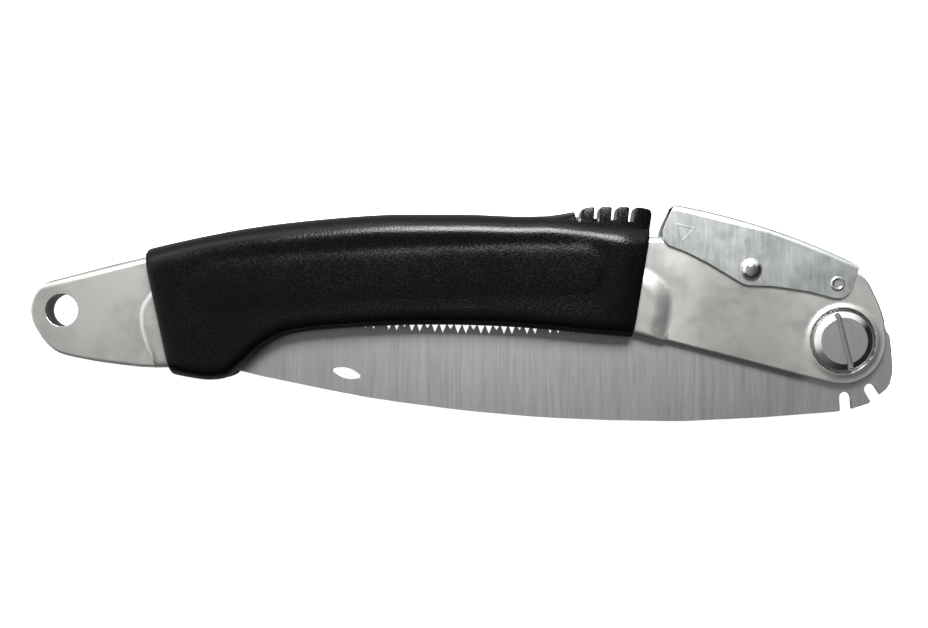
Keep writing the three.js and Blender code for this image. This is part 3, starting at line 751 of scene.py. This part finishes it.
def relief(x, y):
    """How far the side lies inside the plain skin at a place, in millimetres."""
    nearest_x = min(max(x, PANEL_REAR), PANEL_FRONT)
    above = y - panel_line(nearest_x)
    border = math.hypot(x - nearest_x, above) - PANEL_HALF
    upper = LOWER_VALLEY + (1 - LOWER_VALLEY) * share_between(above, -6, 6)
    valley = VALLEY_DEEP * upper * math.exp(-((border / VALLEY_WIDE) ** 2))
    crown = PANEL_CROWN * share_between(border, -PANEL_HALF, 0) ** 2
    fade = 1 - share_between(border, VALLEY_WIDE, 3 * VALLEY_WIDE)
    return valley + crown * fade


print("valley floor is", round(relief(-150, panel_line(-150) + PANEL_HALF), 2), "deep")

# %% [markdown]
# Four slits across the top of the front end leave five ribs for the thumb. A slit is only a
# place where the section is cut off level, with extra sections close together at its walls
# so that they stand upright and their upper edges are softly rounded.

# %% Stations along the grip
# The grip's ends slant, because the upper edge of a section runs ahead of the lower one.
TOP_AHEAD, TOP_LONGER, TOP_LEAN = 1.5, 1.005, 1.1
SECTIONS = 150
# Each slit: its middle along the grip, and the height of its floor.
SLITS = [(-103.3, 48.2), (-96.0, 47.6), (-89.2, 47.0), (-82.4, 46.3)]
SLIT_HALF, SLIT_MARGIN = 1.15, 0.7
# Outside a slit's wall: the distance from it, and how far the top is rounded down there.
WALL_STEPS = [(0.6, 0.0), (0.3, 0.12), (0.1, 0.4), (0.0, 0.9)]
# Inside it: the distance from the wall, and the rise above the slit's floor.
FLOOR_STEPS = [(0.02, 0.35), (0.12, 0.1), (0.4, 0.0)]
# At both ends of the grip: the distance from the end, and how far the skin is drawn in.
END_ROUND = [(0.0, 1.5), (0.12, 0.92), (0.45, 0.43), (0.9, 0.12), (1.6, 0.0)]


def share_of(top_x):
    """The share of the section whose upper edge is at a place."""
    return (GRIP_FRONT + TOP_AHEAD - top_x) / (GRIP_LONG * TOP_LONGER + TOP_LEAN)


# A station is a share, a change of height (less than 0 draws in the skin) and a cut-off level.
stations = [(i / SECTIONS, 0.0, None) for i in range(2, SECTIONS - 1)]
for centre, slit_floor in SLITS:
    low = share_of(centre + SLIT_HALF + SLIT_MARGIN)
    high = share_of(centre - SLIT_HALF - SLIT_MARGIN)
    stations = [s for s in stations if not low < s[0] < high]
    for side in (-1, 1):
        for out_by, drop in WALL_STEPS:
            stations.append((share_of(centre + side * (SLIT_HALF + out_by)), drop, None))
        for in_by, rise in FLOOR_STEPS:
            wall_share = share_of(centre + side * (SLIT_HALF - in_by))
            stations.append((wall_share, 0.0, slit_floor + rise))
    stations.append((share_of(centre), 0.0, slit_floor))
for along_mm, inset in END_ROUND:
    stations.append((along_mm / GRIP_LONG, -inset, None))
    stations.append((1 - along_mm / GRIP_LONG, -inset, None))
stations.sort()
print(len(stations), "sections")

# %% [markdown]
# Inside, the rubber follows the casting with a small gap. The casting is thickest along the
# middle and steps down to the thinner head and tail, and the inner wall steps with it.

# %% One section of the grip
CASTING_COVER, SILL_COVER, CASTING_GAP = 4.3, 2.4, 0.45
MOUTH_HALF, MOUTH_REACH, LOW_ROUND, EDGE_EASE = 4.2, 4.65, 6, 6
FOOT_FRONT, FOOT_REAR = -82.3, GRIP_REAR + 9.6
END_SHARE, END_SLIM = 0.06, 1.6
CORNER_STEPS, SIDE_STEPS, INNER_STEPS = 8, 42, 12


def cavity_half(x, y):
    """Half width of the hollow that the casting fills."""
    front = -76 + 2.4 - (y - 27.6) * 0.75 if y > 27.6 else 0
    rear = -265 - (30 - y) * 0.6 if y > 14 else -280
    if x > front - 0.4:
        return 4.5
    return 5.3 if x < rear + 0.4 else 6.3


def cavity_top(x):
    """Height of the hollow's roof."""
    if x > -89:
        return 41.1
    if x > -103.4:
        return 43.9 + (grip_top(-103.4) - CASTING_COVER - 43.9) * (x + 89) / -14.4
    return max(grip_top(x) - CASTING_COVER, 34.4 + (x + 268) * 0.25 if x < -262 else 0)


def cavity_low(x):
    """Height of the hollow's sill, where the blade folds in."""
    low = max(grip_low(x), grip_low(x + 3), -12.7) + SILL_COVER - CASTING_GAP
    return min(low, SILL_COVER) if x > -85 else low


def section(share, change, level):
    """Points (x, y, z) round one section, from the slot round the outside and back inside."""
    inset, drop = max(-change, 0), max(change, 0)
    top_x = GRIP_FRONT - share * GRIP_LONG * TOP_LONGER + TOP_AHEAD - TOP_LEAN * share
    foot_x = FOOT_FRONT + (FOOT_REAR - FOOT_FRONT) * share
    high, low = grip_top(top_x) - inset, grip_low(foot_x) + inset
    taper = max(0, 1 - min(share, 1 - share) / END_SHARE)
    half = GRIP_HALF - inset - END_SLIM * taper**2
    outer = [(low + 0.5, MOUTH_HALF), (low + 0.15, 4.32), (low, MOUTH_REACH)]
    for k in range(CORNER_STEPS + 1):
        a = math.radians(90 * k / CORNER_STEPS)
        y = low + LOW_ROUND - LOW_ROUND * math.cos(a)
        outer.append((y, half - LOW_ROUND + LOW_ROUND * math.sin(a)))
    top_round = shoulder(share, high, half)
    side_low = low + LOW_ROUND
    side_high = top_round[0][0] - low - LOW_ROUND
    outer += [(side_low + side_high * k / SIDE_STEPS, half) for k in range(1, SIDE_STEPS)]
    outer += [*top_round, (high, (half - SHOULDER_WIDE) / 2)]

    def x_at(y):
        return foot_x + (top_x - foot_x) * (y - low) / (high - low)

    shaped = []
    for y, z in outer:
        z -= relief(x_at(y), y) * (z / half) ** 6 * (1 - taper)
        if drop and y > high - EDGE_EASE:
            near_top = drop * (y - high + EDGE_EASE) / EDGE_EASE
            y -= near_top
            z -= 0.5 * near_top
        if level is not None:
            y = min(y, level)
        shaped.append((y, z))
    peak = high - drop if level is None else level
    middle_x = x_at((high + low) / 2)
    roof, sill = cavity_top(middle_x), cavity_low(middle_x)
    wide = cavity_half(x_at(roof), roof)
    below_roof = roof - 1.6
    levels = [below_roof + (sill - below_roof) * k / INNER_STEPS for k in range(INNER_STEPS + 1)]
    inner = [(roof, 2.0), (roof - 0.4, wide * 0.75)]
    inner += [(y, cavity_half(x_at(y), y)) for y in levels] + [(sill, MOUTH_HALF)]
    front = shaped + [(peak, 0.0)]
    back = [(y, -z) for y, z in reversed(shaped)]
    inside = [(y, -z) for y, z in reversed(inner)] + inner
    return [(x_at(y), y, z) for y, z in front + back + inside]


around = len(section(0.5, 0, None))
print(around, "points in each section")

# %% Loft the grip
bpy.ops.object.select_all(action="DESELECT")
bpy.ops.mesh.primitive_grid_add(x_subdivisions=len(stations) - 1, y_subdivisions=around, size=2)
rubber_grip = bpy.context.object
rubber_grip.name = "rubber_grip"
rings = [section(*s) for s in stations]
for vertex in rubber_grip.data.vertices:
    row = round((vertex.co.x + 1) / 2 * (len(stations) - 1))
    column = round((vertex.co.y + 1) / 2 * around) % around
    vertex.co = spot(*rings[row][column])
edit(
    rubber_grip,
    lambda: bpy.ops.mesh.remove_doubles(threshold=1e-6),
    lambda: bpy.ops.mesh.select_all(action="DESELECT"),
    lambda: bpy.ops.mesh.select_non_manifold(),
    lambda: bpy.ops.mesh.fill_holes(sides=0),
    lambda: bpy.ops.mesh.select_all(action="SELECT"),
    lambda: bpy.ops.mesh.normals_make_consistent(inside=False),
)
shade(rubber_grip, 40, flats=False)
finish_piece(rubber_grip, "handle", "grip_sleeve", finish=rubber, slot="rubber")

# %% [markdown]
# ## The casting
# Its shape is nearly right in the frame, so it is copied, not modelled again. The front slope
# of its raised core, beside the rubber, is leaned back to make it wider and softer. Its edges
# are rounded a little, so that they catch the long box.

# %% Frame casting
CORE_FOOT, CORE_RISE = 4.2, 1.8
CORE_REAR, CORE_FRONT, CORE_EASE, CORE_BEND = -97, -60, 12, 14
SLOPE_LEAN = 5.5

frame_casting = copy_of("frame", "frame_casting")
for vertex in frame_casting.data.vertices:
    x, y, z = (vertex.co - PIVOT) / MM
    up = (abs(z) - CORE_FOOT) / CORE_RISE
    if up > 0.05 and CORE_REAR < x < CORE_FRONT:
        lean = Vector((-1, -max(0, (y - CORE_BEND) / CORE_BEND), 0)).normalized()
        vertex.co += lean * SLOPE_LEAN * MM * up**1.3 * min(1, (x - CORE_REAR) / CORE_EASE)
break_edges(frame_casting, 0.22, angle=38)
shade(frame_casting, 34)
finish_piece(frame_casting, "handle", "frame", finish=cast_alloy, slot="cast_alloy")

# %% [markdown]
# ## The blade
# The frame gives its outline: teeth, hole, notches and ramp. Its edges are stoned, because a
# perfectly sharp rim catches no light. The slanted grinding of the teeth is left out.

# %% Saw blade
saw_blade = copy_of("blade", "saw_blade")
break_edges(saw_blade, 0.1, angle=38, segments=1)
shade(saw_blade, 34)
finish_piece(saw_blade, "blade", "blade", finish=ground_steel, slot="ground_steel")

# %% [markdown]
# ## The lever
# A saddle of bent sheet: two cheeks and a crown. Press tools leave its rim slightly rounded.
# Near the rear a small hollow triangle is raised on the cheek to show where the thumb goes. It
# is a three-sided disc with its middle cut out, given a thickness.

# %% Press lever and its mark
press_lever = copy_of("lock_lever", "press_lever")
break_edges(press_lever, 0.16, angle=38)
shade(press_lever, 34)
finish_piece(press_lever, "lever", "lock_lever", finish=plated_sheet, slot="plated_sheet")

MARK = [(-65.5, 45.9), (-57.7, 44.1), (-63.3, 38.1)]
MARK_OUT, MARK_LINE, MARK_THICK = 5.58, 0.7, 0.5
bpy.ops.object.select_all(action="DESELECT")
bpy.ops.mesh.primitive_circle_add(vertices=3, radius=1, fill_type="NGON")
press_mark = bpy.context.object
press_mark.name = "press_mark"
for vertex, (x, y) in zip(press_mark.data.vertices, MARK):
    vertex.co = spot(x, y, MARK_OUT)
edit(
    press_mark,
    lambda: bpy.ops.mesh.inset(thickness=MARK_LINE * MM),
    lambda: bpy.ops.mesh.delete(type="FACE"),
    lambda: bpy.ops.mesh.select_all(action="SELECT"),
    lambda: bpy.ops.mesh.normals_make_consistent(inside=False),
)
apply(press_mark, "SOLIDIFY", thickness=MARK_THICK * MM, offset=0)
edit(press_mark, lambda: bpy.ops.mesh.normals_make_consistent(inside=False))
break_edges(press_mark, 0.12, angle=50, segments=1)
shade(press_mark, 35)
finish_piece(press_mark, "lever", finish=plated_sheet, slot="plated_sheet")

# %% [markdown]
# ## Turned parts
# A lathe works outwards from an axis, and a disc that is extruded and widened step by step
# does the same. The list of steps reads like the drawing of the part: radius, then height.

# %% Lathe
def turn(name, centre, steps, sides=96):
    """Turns a solid from a list of steps, each a radius and a height."""
    bpy.ops.object.select_all(action="DESELECT")
    radius, height = steps[0]
    start_at = centre + Vector((0, 0, height * MM))
    bpy.ops.mesh.primitive_circle_add(
        vertices=sides, radius=radius * MM, fill_type="NGON", location=start_at
    )
    piece = bpy.context.object
    piece.name = name
    bpy.ops.object.mode_set(mode="EDIT")
    bpy.ops.mesh.select_all(action="SELECT")
    for (r0, z0), (r1, z1) in zip(steps, steps[1:]):
        bpy.ops.mesh.extrude_region_move(TRANSFORM_OT_translate={"value": (0, 0, (z1 - z0) * MM)})
        if r1 != r0:
            bpy.ops.transform.resize(value=(r1 / r0, r1 / r0, 1))
    bpy.ops.mesh.select_all(action="SELECT")
    bpy.ops.mesh.normals_make_consistent(inside=False)
    bpy.ops.object.mode_set(mode="OBJECT")
    bpy.ops.object.transform_apply(location=True, rotation=True, scale=True)
    return piece


def carve(piece, tool):
    """Cuts a tool's shape out of a piece and puts the tool away."""
    apply(piece, "BOOLEAN", operation="DIFFERENCE", object=tool, solver="EXACT")
    bpy.data.objects.remove(tool)


# %% [markdown]
# The pivot screw has a wide flat head with a bold polished chamfer. Its slot is made for a
# coin, cut straight across with a flat floor.

# %% Pivot screw
SLOT_WIDE, SLOT_HIGH, SLOT_MIDDLE, SLOT_TURN = 2.1, 4, 6.9, 104.3
pivot_bolt = turn("pivot_bolt", PIVOT, [
    (2.7, -5.2), (3.2, -4.7), (3.2, 3.05), (11.3, 3.05), (11.5, 3.25), (11.5, 4.7), (9.05, 6.2),
])
bpy.ops.object.select_all(action="DESELECT")
bpy.ops.mesh.primitive_cube_add(
    size=1,
    location=spot(0, 0, SLOT_MIDDLE),
    rotation=(0, 0, math.radians(SLOT_TURN)),
    scale=(30 * MM, SLOT_WIDE * MM, SLOT_HIGH * MM),
)
carve(pivot_bolt, bpy.context.object)
break_edges(pivot_bolt, 0.12, angle=28)
shade(pivot_bolt, 30)
finish_piece(pivot_bolt, "handle", "pivot_screw", finish=faced_steel, slot="polished_steel")

# %% [markdown]
# The lever's rivet has a low dome on each cheek, and the ends of the lock pin are peened over.
# Each dome is stepped finely enough to shade as one curve.

# %% Rivet and lock pin
def dome(radius, base, rise, steps):
    """The steps of a dome, from its rim up."""
    return [
        (radius * math.cos(a), base + rise * math.sin(a))
        for a in (math.radians(88 * k / steps) for k in range(steps + 1))
    ]


front_dome = dome(4.2, 5.8, 2.6, 9)
rear_dome = [(r, -z) for r, z in reversed(front_dome)]
lever_rivet = turn("rivet_domes", Vector((RIVET.x, RIVET.y, PIVOT.z)), [
    *rear_dome, (4.1, -5.65), (2, -5.6), (2, 5.6), (4.1, 5.65), *front_dome,
], 64)
shade(lever_rivet, 40)
finish_piece(lever_rivet, "handle", "lever_rivet", finish=polished_steel, slot="polished_steel")

PIN_AT = spot(-2.6, 22.3)
PIN_STEPS = [
    (2.15, 0.95), (2.15, 5.65), (2.7, 5.66), (2.8, 5.8), (2.72, 6.0), (2.5, 6.16), (2.2, 6.22),
    (1.9, 6.16), (1.6, 6.02), (1.2, 5.96),
]
for name, flip in (("front", 1), ("rear", -1)):
    node = f"lock_pin_{name}"
    pin = turn(f"pin_end_{name}", PIN_AT, [(r, z * flip) for r, z in PIN_STEPS], 48)
    shade(pin, 40)
    finish_piece(pin, "lever", node, finish=faced_steel, slot="polished_steel")

# %% [markdown]
# ## Nut, washers and springs
# The nut on the hidden side keeps the frame's shape with its edges broken. The leaf spring
# under the lever is squeezed as the lever is pressed; it is given a mesh of its own.

# %% Nut and leaf spring
hex_nut = copy_of("pivot_nut", "hex_nut")
break_edges(hex_nut, 0.3, angle=38)
shade(hex_nut, 34)
finish_piece(hex_nut, "handle", "pivot_nut", finish=plated_sheet, slot="plated_sheet")

leaf_spring = copy_of("lever_spring", "leaf_spring")
break_edges(leaf_spring, 0.08, angle=50, segments=1)
shade(leaf_spring, 40)
finish_piece(leaf_spring, "handle", "lever_spring", finish=spring_steel, slot="spring_steel")
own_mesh(leaf_spring)

# %% Finishes of the parts that stay as they are
for node, finish in {
    "blade_bumper": rubber, "washer_front": bronze, "washer_rear": bronze,
    "spring_washer": spring_steel, "rivet_sleeve": plated_sheet,
}.items():
    nodes[node].data.materials.clear()
    nodes[node].data.materials.append(finish)
    print(node, "->", finish.name)
